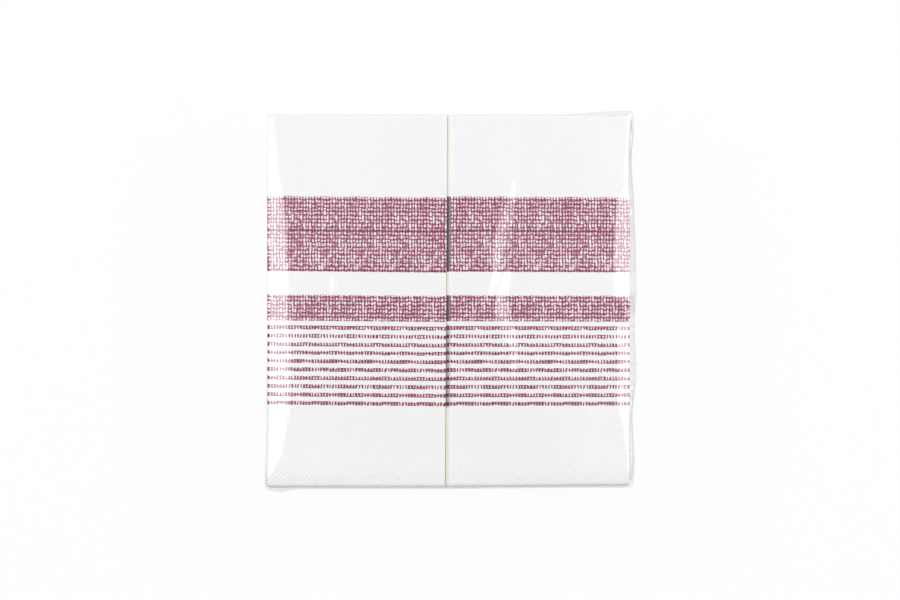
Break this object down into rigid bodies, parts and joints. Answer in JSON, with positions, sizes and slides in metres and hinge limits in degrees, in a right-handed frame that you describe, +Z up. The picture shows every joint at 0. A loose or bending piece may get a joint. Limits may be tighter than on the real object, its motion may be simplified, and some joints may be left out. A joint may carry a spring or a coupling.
{
  "type": "napkin pack",
  "caption": "Clear film pack of folded white paper napkins in side-by-side stacks, printed in burgundy with a broad band, a narrow band and tea-towel stripes",
  "frame": {"origin": "middle of the outline seen from above, on the face the pack stands on", "axes": "+X across the two stacks towards the standing seal, +Y towards the back edge, away from the stripes, +Z up"},
  "size_m": [0.2056, 0.201, 0.1082],
  "materials": {
    "napkin_paper": "soft and matt, embossed with a fine diagonal twill",
    "burgundy_print": "matt ink on paper, printed as woven threads",
    "clear_film": "thin clear glossy film, slightly wrinkled"
  },
  "bodies": {
    "root": {"film_wrap": "clear_film", "left_napkin_01": "napkin_paper", "left_napkin_02": "napkin_paper", "left_napkin_03": "napkin_paper", "left_napkin_04": "napkin_paper", "left_napkin_05": "napkin_paper", "left_napkin_06": "napkin_paper", "left_napkin_07": "napkin_paper", "left_napkin_08": "napkin_paper", "left_napkin_09": "napkin_paper", "left_napkin_10": "napkin_paper", "left_napkin_11": "napkin_paper", "left_napkin_12": "napkin_paper", "left_napkin_13": "napkin_paper", "left_napkin_14": "napkin_paper", "left_napkin_15": "napkin_paper", "left_napkin_16": "napkin_paper", "left_napkin_17": "napkin_paper", "left_napkin_18": "napkin_paper", "left_napkin_19": "napkin_paper", "left_napkin_20": "napkin_paper", "left_napkin_21": "napkin_paper", "left_napkin_22": "napkin_paper", "left_napkin_23": "napkin_paper", "left_napkin_24": "napkin_paper", "left_napkin_25": "napkin_paper", "right_napkin_01": "napkin_paper", "right_napkin_02": "napkin_paper", "right_napkin_03": "napkin_paper", "right_napkin_04": "napkin_paper", "right_napkin_05": "napkin_paper", "right_napkin_06": "napkin_paper", "right_napkin_07": "napkin_paper", "right_napkin_08": "napkin_paper", "right_napkin_09": "napkin_paper", "right_napkin_10": "napkin_paper", "right_napkin_11": "napkin_paper", "right_napkin_12": "napkin_paper", "right_napkin_13": "napkin_paper", "right_napkin_14": "napkin_paper", "right_napkin_15": "napkin_paper", "right_napkin_16": "napkin_paper", "right_napkin_17": "napkin_paper", "right_napkin_18": "napkin_paper", "right_napkin_19": "napkin_paper", "right_napkin_20": "napkin_paper", "right_napkin_21": "napkin_paper", "right_napkin_22": "napkin_paper", "right_napkin_23": "napkin_paper", "right_napkin_24": "napkin_paper", "right_napkin_25": "napkin_paper", "left_print": "burgundy_print", "right_print": "burgundy_print"}
  },
  "joints": []
}
